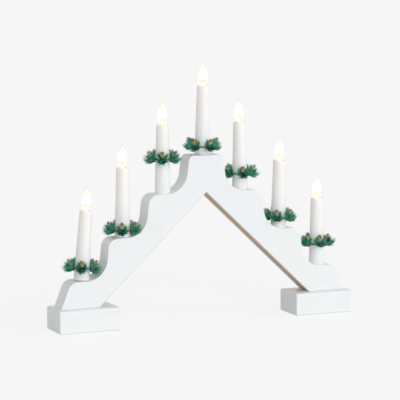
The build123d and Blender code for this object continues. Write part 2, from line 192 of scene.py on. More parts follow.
# The camera sees a share of the floor as plain white. The rest is lit, and keeps the arch's shadow
floor_span = 60.0
floor_grey = 0.88
plain_share = 0.80
floor = bpy.data.objects.new("floor", bpy.data.meshes.new("floor"))
corners = [(x * floor_span, y * floor_span, 0.0) for x, y in ((-1, -1), (1, -1), (1, 1), (-1, 1))]
floor.data.from_pydata(corners, [], [(0, 1, 2, 3)])
scene.collection.objects.link(floor)
matt = Finish(bpy.data.materials.new("floor_white"))
shaded = matt.node("BsdfDiffuse", sockets={"Color": (floor_grey,) * 3 + (1.0,)})
plain = matt.node("Emission", sockets={"Color": (1.0, 1.0, 1.0, 1.0), "Strength": 1.0})
matt.node("OutputMaterial", sockets={"Surface": seen_backdrop(matt, shaded, plain_share, plain)})
floor.data.materials.append(matt.holder)


# Board: one stepped fibreboard arch, sprayed white with a satin paint.
# The paint stops at the edge of the underside, where the bare board shows beside the cover strips.

# The underside rises from the tops of the feet to its apex
apex_height = 153.3 * mm
foot_top = 26.6 * mm
half_span = 133.5 * mm
slope = (apex_height - foot_top) / half_span
paint_white = (0.845, 0.868, 0.876)
bare_board = (0.80, 0.72, 0.62)
# How far over the underside the paint thins out and is whole again, and how far that line strays
paint_edge = (0.4 * mm, 0.8 * mm)
edge_stray = 0.6 * mm


def give_finish(node, material):
    """Puts a finish on every slot of a node of the frame."""
    piece = frame["nodes"][node]
    if not piece.material_slots:
        piece.data.materials.append(material)
    for slot in piece.material_slots:
        slot.material = material


def dimmed(colour, level):
    """A colour at a level of its brightness."""
    return tuple(level * c for c in colour)


def sprayed_paint(finish):
    """White, its roughness and its relief: orange peel on long shallow waves."""
    peel = finish.mottle(size=1.6 * mm, detail=3.0)
    waves = finish.mottle(size=22 * mm)
    white = finish.colour(waves, dimmed(paint_white, 0.965), paint_white)
    roughness = 0.34 + 0.10 * finish.mottle(size=6 * mm)
    return white, roughness, finish.relief(0.35 * peel + 0.65 * waves, depth=0.16 * mm)


board_paint = Finish(bpy.data.materials.new("board_satin_paint"))
white, roughness, peel = sprayed_paint(board_paint)
x, _, z = board_paint.coordinates()
over_underside = (z + slope * abs(x) - apex_height) * (1 / math.hypot(1, slope))
ragged = over_underside + edge_stray * board_paint.mottle(size=4 * mm) - edge_stray / 2
painted = ragged.rising(*paint_edge)
fibres = board_paint.mottle(size=0.9 * mm, detail=4.0, stretch=(3.0, 1.0, 3.0))
bare = board_paint.colour(fibres, dimmed(bare_board, 0.8), bare_board)
give_finish(
    "arch_board",
    board_paint.surface(
        Base_Color=board_paint.colour(painted, bare, white),
        Roughness=roughness + 0.35 * (1 - painted),
        Normal=peel,
        Specular_IOR_Level=0.45,
    ),
)


# Feet: two blocks of fibreboard with rounded edges, in the same paint.
# The edges that they stand on are painted darker, as a painted contact shadow, and made rougher.

# The colour of the painted contact shadow along the edges that the feet stand on
contact_shadow_paint = (0.60, 0.57, 0.53)
# How far up the painted contact shadow fades out, and how far that line strays
contact_shadow_rise = (0.4 * mm, 1.1 * mm)
contact_shadow_stray = 1.0 * mm

foot_paint = Finish(bpy.data.materials.new("foot_satin_paint"))
white, roughness, peel = sprayed_paint(foot_paint)
z = foot_paint.coordinates()[2]
unshadowed = (z + contact_shadow_stray * foot_paint.mottle(size=3 * mm, detail=4.0)).rising(*contact_shadow_rise)
foot_finish = foot_paint.surface(
    Base_Color=foot_paint.colour(unshadowed, contact_shadow_paint, white),
    Roughness=roughness + 0.25 * (1 - unshadowed),
    Normal=peel,
    Specular_IOR_Level=0.45,
)
for node in ("left_foot", "right_foot"):
    give_finish(node, foot_finish)


# Screws and pins: zinc-plated screws up through the feet and bright panel pins.
# Both are plated or bright steel with fine scratches, and tarnish has clouded them.


def rolled_steel(name, colour, tarnish, roughness):
    """Steel or plating with fine scratches, which a cloud of tarnish darkens and dulls in patches."""
    finish = Finish(bpy.data.materials.new(name))
    scratches = finish.mottle(size=0.25 * mm, detail=3.0, stretch=(6.0, 1.0, 1.0))
    cloud = finish.mottle(size=1.5 * mm, detail=3.0)
    return finish.surface(
        Base_Color=finish.colour(cloud, tarnish, colour),
        Metallic=1.0,
        Roughness=roughness + 0.18 * cloud,
        Normal=finish.relief(scratches, depth=0.02 * mm),
    )


zinc, dull_zinc = (0.66, 0.64, 0.56), (0.50, 0.47, 0.40)
steel, dull_steel = (0.62, 0.62, 0.62), (0.42, 0.40, 0.38)
give_finish("foot_screws", rolled_steel("zinc_plate", zinc, dull_zinc, roughness=0.26))
give_finish("strip_pins", rolled_steel("pin_bright_steel", steel, dull_steel, roughness=0.28))


# Cover strips: two strips of brown hardboard let into the underside over the wiring groove.
# They are pinned to the board and left unpainted. Board dust pales them towards their long edges,
# and a painted shade darkens them a little towards the feet.

dark_fibre, pale_fibre = (0.380, 0.260, 0.165), (0.640, 0.480, 0.330)
# The darker brown towards the feet is painted shade, where shade falls near the feet
foot_shade_brown = (0.150, 0.090, 0.055)
dust_from_middle = (2.5 * mm, 7.5 * mm)
dust_share, foot_shade_share = 0.40, 0.12
foot_shade_along = (20 * mm, 150 * mm)

hardboard = Finish(bpy.data.materials.new("bare_hardboard"))
flecks = hardboard.mottle(size=0.7 * mm, detail=5.0, stretch=(2.5, 2.5, 2.5))
patches = hardboard.mottle(size=14 * mm, detail=3.0)
brown = hardboard.colour(flecks.rising(0.3, 0.7), dark_fibre, pale_fibre)
x, y, _ = hardboard.coordinates()
dusted = hardboard.colour(dust_share * abs(y).rising(*dust_from_middle), brown, bare_board)
foot_shade = (abs(x) + 20 * mm * patches).rising(*foot_shade_along)
hardboard_finish = hardboard.surface(
    Base_Color=hardboard.colour(foot_shade_share * foot_shade, dusted, foot_shade_brown),
    Roughness=0.62 + 0.15 * patches,
    Normal=hardboard.relief(flecks, depth=0.12 * mm),
)
for node in ("left_cover_strip", "right_cover_strip"):
    give_finish(node, hardboard_finish)


# Cord inlet: a white rubber bush pushed into the back of the right leg.
# It is moulded in one piece, and guards a mains cord where that would enter the wiring groove.

rubber = Finish(bpy.data.materials.new("grommet_rubber"))
bloom = rubber.mottle(size=1.2 * mm, detail=3.0)
give_finish(
    "cord_grommet",
    rubber.surface(
        Base_Color=rubber.colour(bloom, (0.70, 0.70, 0.67), (0.80, 0.80, 0.77)),
        Roughness=0.55 + 0.15 * bloom,
        Normal=rubber.relief(bloom, depth=0.05 * mm),
    ),
)


# Wiring: thin white insulated leads in series through the groove and up into the tubes.
# The insulation is drawn over the wire, and its faint marks are drawn out along the arch.

insulation = Finish(bpy.data.materials.new("lead_insulation"))
drawn = insulation.mottle(size=0.8 * mm, stretch=(5.0, 1.0, 1.0))
give_finish(
    "lamp_wiring",
    insulation.surface(
        Base_Color=insulation.colour(drawn, (0.68, 0.68, 0.64), (0.80, 0.80, 0.76)),
        Roughness=0.38 + 0.12 * drawn,
        Normal=insulation.relief(drawn, depth=0.03 * mm),
    ),
)


# Sockets: a threaded brass shell and a brass contact, pushed into each tube.
# Both are pressed from thin sheet, and the warm air of the lamp has browned them in patches.

# Colours of a painted glow of lamplight, given as emission to brass that the lamp would light
painted_lamplight, dim_painted_lamplight = (1.0, 0.84, 0.68), (0.95, 0.76, 0.58)


def pressed_brass(name, bright, dark, lit=0.0):
    """Brass pressed from thin sheet: drawn round its axis and browned in patches.
    lit is the strength of a painted glow of lamplight on it, as emission."""
    finish = Finish(bpy.data.materials.new(name))
    drawn = finish.mottle(size=0.3 * mm, detail=3.0, stretch=(8.0, 8.0, 1.0))
    browned = finish.mottle(size=2.2 * mm, detail=4.0).rising(0.35, 0.75)
    return finish.surface(
        Base_Color=finish.colour(browned, bright, dark),
        Metallic=1.0,
        Roughness=0.24 + 0.22 * browned,
        Normal=finish.relief(drawn, depth=0.025 * mm),
        Emission_Color=finish.colour(browned, painted_lamplight, dim_painted_lamplight),
        Emission_Strength=lit,
    )


give_finish("socket_shells", pressed_brass("socket_brass", (0.80, 0.62, 0.30), (0.52, 0.36, 0.16)))
give_finish("socket_contacts", pressed_brass("contact_brass", (0.82, 0.66, 0.34), (0.58, 0.42, 0.20)))


# Candle tubes: tapered tubes of milky white plastic, pressed into the board by a spigot.
# A painted glow of the lamp's light, as emission, lifts the whole tube faintly and is strongest at its
# top. The plastic has faint moulding lines down it.

tube_height = 80 * mm
dull_tube, bright_tube = (0.815, 0.838, 0.858), (0.845, 0.866, 0.884)
# The tube is no lamp: its warm emission is a painted glow, faint towards the foot and strong near the
# mouth
painted_glow_at_foot, painted_glow_at_mouth = (0.020, 0.012, 0.006), (0.100, 0.060, 0.012)
painted_glow_over_mouth = (-85 * mm, 5 * mm)

# Each candle's mouth and the way up its axis, from the joint in which its lamp turns
candles = {}
for joint in frame["joints"]:
    if joint["name"].startswith("bulb_turn_"):
        k = int(joint["name"].rsplit("_", 1)[1])
        candles[k] = (np.array(joint["pos_m"]), np.array(joint["axis"]))


def height_over_mouth(finish, k):
    """How far the point stands over the mouth of candle k: its way from the mouth along the axis."""
    mouth, axis = candles[k]
    x, _, z = finish.coordinates()
    return (x - mouth[0]) * axis[0] + (z - mouth[2]) * axis[2]


for k in candles:
    plastic = Finish(bpy.data.materials.new(f"milky_plastic_{k}"))
    painted_glow = height_over_mouth(plastic, k).rising(*painted_glow_over_mouth)
    lines = plastic.mottle(size=1.1 * mm, stretch=(1.0, 1.0, 60.0))
    clouds = plastic.mottle(size=12 * mm)
    give_finish(
        f"candle_{k}",
        plastic.surface(
            Base_Color=plastic.colour(clouds, dull_tube, bright_tube),
            Roughness=0.38 + 0.10 * clouds,
            Normal=plastic.relief(0.7 * lines + 0.3 * clouds, depth=0.05 * mm),
            Subsurface_Weight=0.25,
            Subsurface_Radius=(1.0, 0.60, 0.42),
            Subsurface_Scale=1.5 * mm,
            Emission_Color=plastic.colour(painted_glow, painted_glow_at_foot, painted_glow_at_mouth),
            Emission_Strength=1.0,
            Specular_IOR_Level=0.35,
        ),
    )


# Lamps: clear pointed glass on a brass screw cap, with a coiled filament on a glass stem.
# The lamps are lit: warm light floods the glass about the filament, and its foot and tip stay clearer.

glass_foot = 76.6 * mm - tube_height
glass_height = 30 * mm
glass_radius = 5.6 * mm
glass_wall = 0.5 * mm
glass_sides, glass_steps = 40, 6
# The glass from its foot to its tip: shares of its radius and of its height
glass_shape = (
    (0.82, 0.0),
    (0.90, 0.06),
    (0.985, 0.20),
    (1.0, 0.36),
    (0.96, 0.52),
    (0.82, 0.68),
    (0.62, 0.82),
    (0.39, 0.935),
)
clear_glass, flooded_glass = (0.955, 0.905, 0.845), (1.0, 0.985, 0.96)
clear_glow, flooded_glow = (0.070, 0.054, 0.042), (0.14, 0.13, 0.10)
# How far over the mouth the flood of light begins, is whole, fades and ends
flood_rises, flood_fades = (5 * mm, 11 * mm), (14 * mm, 20 * mm)

stem_sides, stem_steps = 20, 5
# The stem from its foot to its top: radius and height over the glass's foot, in millimetres
stem_shape = (
    (4.1, -1.4),
    (4.0, 0.0),
    (2.6, 1.0),
    (1.5, 2.4),
    (1.15, 4.6),
    (1.2, 6.2),
    (0.8, 7.0),
    (0.1, 7.2),
)

# Each lead leans out from the top of the stem to the hook that holds the filament
lead_foot_side, lead_foot_height = 0.5 * mm, 5.6 * mm
lead_curve = 1.3
lead_radius, lead_sides, lead_steps = 0.16 * mm, 8, 12
hook_side, hook_height = 1.9 * mm, 14.5 * mm
# The filament is a coil in a shallow bow between the hooks
bow_rise = 2.0 * mm
coil_radius, coil_turns, points_per_turn = 0.30 * mm, 18, 8
filament_radius, filament_sides = 0.07 * mm, 5

# The cap is no lamp: its emission is a painted glow of the lamplight on its brass
cap_finish = pressed_brass("cap_brass", (0.84, 0.73, 0.52), (0.64, 0.52, 0.34), lit=0.80)


def curve_through(points, steps):
    """A smooth curve through every point (Catmull-Rom): between points b and c it is the cubic
    that leaves b along c - a and reaches c along d - b, where a and d are their other neighbours."""
    points = np.asarray(points, float)
    a, b, c, d = (p[:, None, :] for p in (points[:-3], points[1:-2], points[2:-1], points[3:]))
    t = (np.arange(steps) / steps)[None, :, None]
    run = 0.5 * (2 * b + (c - a) * t + (2 * a - 5 * b + 4 * c - d) * t**2 + (3 * b - a - 3 * c + d) * t**3)
    return np.vstack([run.reshape(-1, points.shape[1]), points[-2]])


def place_on_candle(k, local):
    """Places in the frame of points measured from the mouth of candle k: the mouth, and x of the way
    aside, y of the way back and z of the candle's axis added to it."""
    mouth, axis = candles[k]
    aside = np.array((axis[2], 0.0, -axis[0]))
    back = np.array((0.0, 1.0, 0.0))
    return mouth + local[..., :1] * aside + local[..., 1:2] * back + local[..., 2:] * axis


def closed_shells(name, rings, ends, smooth=True, **marks):
    """One mesh of closed shells. rings has the shape (shells, stations, around, 3), each ring
    counter-clockwise about the way from the first to the last station: four-sided faces join it to
    the next ring. Triangles close the end rings on the two points of ends (shells, 2, 3).
    A mark is a number for each ring point, kept as an attribute: the first end takes the mean of
    its ring, and the last end the highest number of its ring."""
    shells, stations, around, _ = rings.shape
    here = np.arange(shells * stations * around).reshape(shells, stations, around)
    ahead = np.roll(here, -1, axis=2)
    sides = np.stack([here[:, :-1], ahead[:, :-1], ahead[:, 1:], here[:, 1:]], -1).reshape(-1, 4)
    poles = here.size + np.arange(2 * shells).reshape(shells, 2, 1)
    first = np.stack([ahead[:, 0], here[:, 0], np.broadcast_to(poles[:, 0], here[:, 0].shape)], -1)
    last = np.stack([here[:, -1], ahead[:, -1], np.broadcast_to(poles[:, 1], here[:, 0].shape)], -1)
    caps = np.concatenate([first.reshape(-1, 3), last.reshape(-1, 3)])
    mesh = bpy.data.meshes.new(name)
    points = np.concatenate([rings.reshape(-1, 3), ends.reshape(-1, 3)])
    mesh.from_pydata(points.tolist(), [], sides.tolist() + caps.tolist())
    mesh.polygons.foreach_set("use_smooth", np.full(len(mesh.polygons), smooth))
    for mark, numbers in marks.items():
        numbers = np.broadcast_to(numbers, rings.shape[:3])
        at_ends = np.stack([numbers[:, 0].mean(1), numbers[:, -1].max(1)], 1)
        every = np.concatenate([numbers.ravel(), at_ends.ravel()]).astype(np.float32)
        mesh.attributes.new(mark, "FLOAT", "POINT").data.foreach_set("value", every)
    mesh.update()
    piece = bpy.data.objects.new(name, mesh)
    scene.collection.objects.link(piece)
    return piece


def candle_piece(name, k, rings, ends, finish, body, stands_for, slot, smooth=True, **marks):
    """Closed shells measured from the mouth of candle k, with their finish. They move with a body
    and stand for a node."""
    piece = closed_shells(name, place_on_candle(k, rings), place_on_candle(k, ends), smooth, **marks)
    piece.data.materials.append(finish)
    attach(piece, body)
    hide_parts(stands_for)


def lamp_piece(name, k, rings, ends, finish, stands_for, slot):
    """A piece of the lamp of candle k, measured from the foot of its glass. It turns with the lamp."""
    rise = np.array((0.0, 0.0, glass_foot))
    candle_piece(name, k, rings + rise, ends + rise, finish, f"bulb_{k}", stands_for, slot)


def turned(profile, around):
    """Rings of a shape turned round the z axis: each point (r, z) of the profile makes one circle,
    r cos t, r sin t and z, as t goes once round."""
    turn = np.linspace(0.0, 2 * np.pi, around, endpoint=False)
    r, z = profile[:, :1], profile[:, 1:]
    return np.stack([r * np.cos(turn), r * np.sin(turn), z + 0 * turn], -1)


def tube_along(path, radius, around):
    """Rings of a round wire along a path (..., stations, 3): circles square to the path's own
    direction. They are set out from a fixed way that none of the wires follows."""
    fixed_way = np.array((0.137, 0.961, 0.241))
    ahead = np.gradient(path, axis=-2)
    ahead /= np.linalg.norm(ahead, axis=-1, keepdims=True)
    side = np.cross(ahead, fixed_way)
    side /= np.linalg.norm(side, axis=-1, keepdims=True)
    up = np.cross(ahead, side)
    turn = np.linspace(0.0, 2 * np.pi, around, endpoint=False)[:, None]
    circle = np.cos(turn) * side[..., None, :] + np.sin(turn) * up[..., None, :]
    return path[..., None, :] + radius * circle


# The envelope runs down the outside of the glass and up its inside. Both curves go through the
# shape and its tip, with a mirrored point past each end to give their slope there
outline = [(r * glass_radius, z * glass_height) for r, z in glass_shape]
below_foot = (outline[1][0], -outline[1][1])
past_tip = (-outline[-1][0], outline[-1][1])
outline = np.array([below_foot, *outline, (0.0, glass_height), past_tip])
outer = curve_through(outline, glass_steps)
inner = curve_through(outline * (1 - glass_wall / glass_radius), glass_steps)
inner[:, 1] = np.minimum(inner[:, 1], inner[:, 1] / inner[-1, 1] * (glass_height - glass_wall))
envelope = turned(np.vstack([outer[-2::-1], inner[:-1]]), glass_sides)[None, :, ::-1]
envelope_ends = np.array([[(0.0, 0.0, outer[-1, 1]), (0.0, 0.0, inner[-1, 1])]])

stem_profile = curve_through(np.array(stem_shape) * mm, stem_steps)
stem = turned(stem_profile, stem_sides)[None]
stem_ends = np.array([[(0.0, 0.0, stem_profile[0, 1]), (0.0, 0.0, stem_profile[-1, 1])]])

along = np.linspace(0.0, 1.0, lead_steps)
lead_side = lead_foot_side + (hook_side - lead_foot_side) * along**lead_curve
lead_height = lead_foot_height + (hook_height - lead_foot_height) * along
lead_path = np.stack([lead_side, 0 * along, lead_height], -1)
leads = np.stack([lead_path, lead_path * (-1, 1, 1)])

# The coil's points circle about the bow, a parabola from hook to hook, square to its slope
turn = np.linspace(0.0, 1.0, coil_turns * points_per_turn + 1)
from_middle = 2 * turn - 1
bow = np.stack([hook_side * from_middle, 0 * turn, hook_height + bow_rise * (1 - from_middle**2)], -1)
bow_slope = np.stack([1 + 0 * turn, 0 * turn, -2 * bow_rise / hook_side * from_middle], -1)
bow_slope /= np.linalg.norm(bow_slope, axis=1, keepdims=True)
bow_back = np.array((0.0, 1.0, 0.0))
bow_up = -np.cross(bow_slope, bow_back)
spin = 2 * np.pi * coil_turns * turn[:, None]
coil = bow + coil_radius * (np.cos(spin) * bow_up + np.sin(spin) * bow_back)

tungsten = Finish(bpy.data.materials.new("glowing_tungsten"))
heat = tungsten.mottle(size=0.4 * mm)
tungsten_finish = tungsten.surface(
    Base_Color=tungsten.colour(heat, (0.55, 0.45, 0.30), (0.70, 0.60, 0.42)),
    Metallic=1.0,
    Roughness=0.35 + 0.1 * heat,
    Emission_Color=tungsten.colour(heat, (1.0, 0.72, 0.38), (1.0, 0.80, 0.48)),
    Emission_Strength=5.0,
)
nickel_finish = rolled_steel("lead_nickel", (0.55, 0.52, 0.47), (0.42, 0.38, 0.32), roughness=0.3)
stem_glass = Finish(bpy.data.materials.new("stem_glass"))
seeds = stem_glass.mottle(size=1 * mm)
stem_finish = stem_glass.surface(
    Base_Color=stem_glass.colour(seeds, (0.95, 0.91, 0.84), (1.0, 0.97, 0.92)),
    Transmission_Weight=1.0,
    IOR=1.5,
    Roughness=0.05 + 0.05 * seeds,
    Normal=stem_glass.relief(seeds, depth=0.04 * mm),
    Emission_Color=stem_glass.colour(seeds, (1.0, 0.90, 0.74), (1.0, 0.95, 0.84)),
    Emission_Strength=0.7,
)

for k in candles:
    give_finish(f"bulb_cap_{k}", cap_finish)
    glass = Finish(bpy.data.materials.new(f"lit_glass_{k}"))
    height = height_over_mouth(glass, k)
    flood = height.rising(*flood_rises) * (1 - height.rising(*flood_fades))
    seeds = glass.mottle(size=4 * mm)
    glass_finish = glass.surface(
        Base_Color=glass.colour(flood, clear_glass, flooded_glass),
        Transmission_Weight=1.0,
        IOR=1.45,
        Roughness=0.02 + 0.03 * seeds,
        Normal=glass.relief(seeds, depth=0.06 * mm),
        Emission_Color=glass.colour(flood, clear_glow, flooded_glow),
        Emission_Strength=1.0,
    )
    envelope_node, filament_node = f"bulb_glass_{k}", f"bulb_filament_{k}"
    lamp_piece(f"lamp_glass_{k}", k, envelope, envelope_ends, glass_finish, envelope_node, "bulb_glass")
    lamp_piece(f"lamp_stem_{k}", k, stem, stem_ends, stem_finish, filament_node, "bulb_glass")
    wires = tube_along(leads, lead_radius, lead_sides)
    lamp_piece(f"lamp_leads_{k}", k, wires, leads[:, [0, -1]], nickel_finish, filament_node, "filament")
    wire = tube_along(coil, filament_radius, filament_sides)[None]
    lamp_piece(f"lamp_coil_{k}", k, wire, coil[None, [0, -1]], tungsten_finish, filament_node, "filament")


# Wreath hoops: a ring of green-lacquered wire that lies loosely round each tapered tube.
# Its five knuckles, each with a tuft and a cone, are clipped onto the wire at equal turns.

# For the wreaths from left to right: the hoop's height over its candle's foot in millimetres, the
# turn of its first tuft and how far its tufts are lifted outward, in degrees
hoop_height = (13.5, 7.4, 40.0, 9.0, 19.0, 11.2, 24.6)
first_tuft = (-113.0, -113.0, -113.0, -77.0, -100.0, -122.0, -100.0)
tuft_lift = (0.0, 5.0, 0.0, 0.0, 0.0, 12.0, 22.0)
tufts = 5
tube_foot_radius, tube_mouth_radius = 9.25 * mm, 7.10 * mm
hoop_wire_radius, hoop_gap = 0.7 * mm, 0.08 * mm
knuckle_reach = 0.5 * mm

lacquer = Finish(bpy.data.materials.new("green_lacquered_wire"))
runs = lacquer.mottle(size=1.5 * mm, detail=3.0)
lacquer_finish = lacquer.surface(
    Base_Color=lacquer.colour(runs, (0.006, 0.045, 0.028), (0.012, 0.105, 0.062)),
    Roughness=0.32 + 0.15 * runs,
    Normal=lacquer.relief(runs, depth=0.06 * mm),
)
for k in candles:
    give_finish(f"wreath_hoop_{k}", lacquer_finish)


# Sprigs: five tufts of soft plastic spruce needles on each hoop, moulded in emerald green.
# The needles of a tuft stand round a short twig and bend up like the wall of a bowl, which is open
# in front of the cone. A pod at their foot is the knuckle that clips onto the wire.

needles_per_tuft = 140
golden_turn = 137.508
# A twig's rise from level, how far it starts along its own way, its length, and how far under the
# middle of the knuckle it starts
twig_rise = 27.0
twig_start, twig_length = 0.6 * mm, 4.4 * mm
root_drop = 2.2 * mm
# The needles at a twig's foot, middle and tip: how far they open from it at their root and at their
# end, in degrees, and their length
open_at_root = (80.0, 68.0, 24.0)
open_at_end = (54.0, 36.0, 4.0)
needle_length = (11.2 * mm, 12.8 * mm, 12.2 * mm)
turn_scatter, open_scatter = 9.0, 3.5
length_spread, breadth_spread = (0.80, 1.06), (0.85, 1.15)
# On the side towards the tube, from this share of the way inward, they open no further than steepest
inward_share, steepest = 0.2, 62.0
# The share of the upward way that is added to a needle's own at its root and at its end
upturn_at_root, upturn_at_end = 0.05, 0.50
# A needle stands before the cone if it rises and reaches outward by more than these shares, and
# turns aside by less
cone_rise, cone_aside, cone_out = 0.20, 0.44, 0.36
needle_breadth, needle_thickness = 1.55 * mm, 0.34
needle_fold = 0.30
needle_outline = np.array((0.42, 0.84, 1.0, 0.90, 0.66, 0.34))
pod_length, pod_breadth, pod_thickness = 4.8 * mm, 2.6 * mm, 2.4 * mm
pod_drop, pod_out = 3.4 * mm, 0.6 * mm
pod_outline = np.array((0.45, 0.85, 1.0, 1.0, 0.9, 0.6))
# How far needles may reach before and behind the arch's middle, the least share of their length
# that they keep, and the share of the way to the board at which they end
deepest_reach = 22.9 * mm
least_share, board_share = 0.2, 0.9
look_ahead, smallest_reach = 1.1, 0.001 * mm
sprig_seed = 100


def raised(outward, upward, rise):
    """Unit vectors turned by rise degrees from outward towards upward."""
    rise = math.radians(rise)
    return math.cos(rise) * outward + math.sin(rise) * upward


def tuft_axes(k):
    """Middle of each tuft's knuckle, with its ways outward, aside and upward, on the candle k.
    The knuckles stand on a circle as wide as the tapered tube at the hoop, with the gap, the wire and
    their reach added, and their outward and upward ways are lifted by the wreath's own angle."""
    height = hoop_height[k - 1] * mm
    narrowing = (tube_foot_radius - tube_mouth_radius) * (height - hoop_wire_radius) / tube_height
    reach = tube_foot_radius - narrowing + hoop_gap + hoop_wire_radius + knuckle_reach
    turn = np.radians(first_tuft[k - 1] + 360.0 / tufts * np.arange(tufts))
    level = np.stack([np.cos(turn), np.sin(turn), 0 * turn], -1)
    aside = np.stack([-np.sin(turn), np.cos(turn), 0 * turn], -1)
    plumb = np.array((0.0, 0.0, 1.0))
    knuckle = level * reach + plumb * (height - tube_height)
    lift = tuft_lift[k - 1]
    return knuckle, raised(level, plumb, lift), aside, raised(level, plumb, lift + 90.0)


def leaves(root, start, finish, across, length, breadth, thickness, outline, fold):
    """Rings and ends of closed pointed leaves. A leaf's middle line leaves its root along start and
    turns evenly towards finish. At each station the ring has its two edges across, as far apart as
    breadth times outline, a ridge behind and a shallower ridge before; fold bends the edges forward."""
    back_ridge, front_ridge = 0.6, 0.4
    thickening = 1.6
    stations = len(outline)
    length, breadth, thickness = (np.broadcast_to(a, len(root)) for a in (length, breadth, thickness))
    s = np.linspace(0.0, 1.0, stations + 1)[:, None]
    run = start[:, None] * (1 - s) + finish[:, None] * s
    run /= np.linalg.norm(run, axis=-1, keepdims=True)
    middle = np.cumsum(run, 1) - run[:, :1]
    middle = root[:, None] + middle * (length / stations)[:, None, None]
    across = across[:, None]
    back = np.cross(run, across)
    back /= np.linalg.norm(back, axis=-1, keepdims=True)
    half = (breadth[:, None] * outline / 2)[..., None]
    thick = (thickness[:, None] * np.minimum(1.0, thickening * outline))[..., None]
    core, back = middle[:, :-1], back[:, :-1]
    right = core + half * across - fold * half * back
    left = core - half * across - fold * half * back
    rings = np.stack([right, core + back_ridge * thick * back, left, core - front_ridge * thick * back], 2)
    return rings, np.stack([middle[:, 0], middle[:, -1]], 1)


def steps_along(rings):
    """How far each station of a leaf stands on the way from its root, 0, to its tip, 1."""
    return np.linspace(0.0, 1.0, rings.shape[1] + 1)[None, :-1, None]


def joined(*groups):
    """Groups of leaves as one: the rings, the ends and the other arrays of all groups, end to end."""
    return (np.concatenate(parts) for parts in zip(*groups))


board = frame["nodes"]["arch_board"]
board_skin = BVHTree.FromPolygons(
    [board.matrix_world @ corner.co for corner in board.data.vertices],
    [face.vertices[:] for face in board.data.polygons],
)


def clear_share(root, tip):
    """Shares to which needles from root to tip are cut short. The first limit is the room before or
    behind the arch's middle over the needle's own reach that way, and the second a share of the
    straight way to the board, where that is met."""
    way_out = tip - root
    room = deepest_reach - np.sign(way_out[:, 1]) * root[:, 1]
    shares = np.clip(room / np.maximum(np.abs(way_out[:, 1]), smallest_reach), least_share, 1.0)
    for at, (start, towards) in enumerate(zip(root, way_out)):
        length = float(np.linalg.norm(towards))
        met = board_skin.ray_cast(Vector(start), Vector(towards), length * look_ahead)
        if met[0] is not None:
            shares[at] = min(shares[at], board_share * met[3] / length)
    return shares


def tuft_needles(k, chance):
    """Rings, ends and tones of the needles of wreath k. They go round their twig by the golden turn
    and open from it by angles that change evenly from its foot to its tip, as do their lengths."""
    knuckle, outward, aside, upward = tuft_axes(k)
    shape = (tufts, needles_per_tuft)
    u = np.linspace(0.0, 1.0, needles_per_tuft)
    twig = raised(outward, upward, twig_rise)[:, None]
    over = raised(outward, upward, twig_rise + 90.0)[:, None]
    turns = golden_turn * np.arange(needles_per_tuft) + chance.normal(0.0, turn_scatter, shape)
    spin = np.radians(turns)[..., None]
    away = np.cos(spin) * over + np.sin(spin) * aside[:, None]
    stations = (0.0, 0.5, 1.0)
    inward = np.cos(spin[..., 0]) > inward_share
    aims = []
    for opening, upturn in ((open_at_root, upturn_at_root), (open_at_end, upturn_at_end)):
        opened = np.interp(u, stations, opening) + chance.normal(0.0, open_scatter, shape)
        opened = np.radians(np.where(inward, np.minimum(opened, steepest), opened))[..., None]
        aim = np.cos(opened) * twig + np.sin(opened) * away + upturn * upward[:, None]
        aims.append(aim / np.linalg.norm(aim, axis=-1, keepdims=True))
    start, finish = aims
    root = (knuckle - upward * root_drop)[:, None] + twig * (twig_start + u[:, None] * twig_length)
    size = np.interp(u, stations, needle_length) * chance.uniform(*length_spread, shape)

    # Needles that would stand before the cone are left out
    rise_share, aside_share, out_share = (
        np.sum((start + finish) / 2 * way_to[:, None], -1) for way_to in (upward, aside, outward)
    )
    before_cone = (rise_share > cone_rise) & (np.abs(aside_share) < cone_aside) & (out_share > cone_out)
    kept = ~before_cone.ravel()
    start, finish, root = (a.reshape(-1, 3)[kept] for a in (start, finish, root))
    size = size.ravel()[kept]
    chord = start + finish
    tip = root + chord / np.linalg.norm(chord, axis=1, keepdims=True) * size[:, None]
    size = size * clear_share(place_on_candle(k, root), place_on_candle(k, tip))
    across = np.cross(start, finish)
    across /= np.linalg.norm(across, axis=-1, keepdims=True)
    wide = needle_breadth * chance.uniform(*breadth_spread, size.shape)
    thick = needle_thickness * wide
    rings, ends = leaves(root, start, finish, across, size, wide, thick, needle_outline, needle_fold)
    return rings, ends, chance.uniform(0.0, 1.0, len(rings))


def knuckle_pods(k):
    """Rings, ends and tones of the short upright pods round the wire, with a stub below it.
    Their tone of -1 makes them brown."""
    knuckle, outward, aside, upward = tuft_axes(k)
    root = knuckle - upward * pod_drop + outward * pod_out
    sizes = (pod_length, pod_breadth, pod_thickness)
    pods = leaves(root, upward, upward, aside, *sizes, pod_outline, fold=0.0)
    return *pods, np.full(tufts, -1.0)


# Each needle takes a random tone, from a painted shaded green to a painted highlit green, and its root is
# darkened with painted shade deep in the tuft
shaded_needle_green, highlit_needle_green = (0.001, 0.052, 0.028), (0.065, 0.580, 0.360)
root_shade_green, pod_colour = (0.002, 0.018, 0.010), (0.020, 0.008, 0.006)
frost, frost_share = (0.42, 0.52, 0.46), 0.65

needle = Finish(bpy.data.materials.new("emerald_needle"))
along = needle.node("Attribute", {"attribute_name": "along"}, output=2)
tone = needle.node("Attribute", {"attribute_name": "tone"}, output=2)
body = needle.colour(tone, shaded_needle_green, highlit_needle_green)
root_shaded = needle.colour(along.rising(0.05, 0.55), root_shade_green, body)
frosted = (tone.rising(0.60, 0.90) * along.rising(0.60, 1.0)) * frost_share
pod_brown = needle.colour(tone.rising(-1.0, -0.3), pod_colour, root_shaded)
veins = needle.mottle(size=0.7 * mm)
needle_finish = needle.surface(
    Base_Color=needle.colour(frosted, pod_brown, frost),
    Roughness=0.34 + 0.16 * veins,
    Normal=needle.relief(veins, depth=0.05 * mm),
    Coat_Weight=0.15,
    Coat_Roughness=0.2,
)

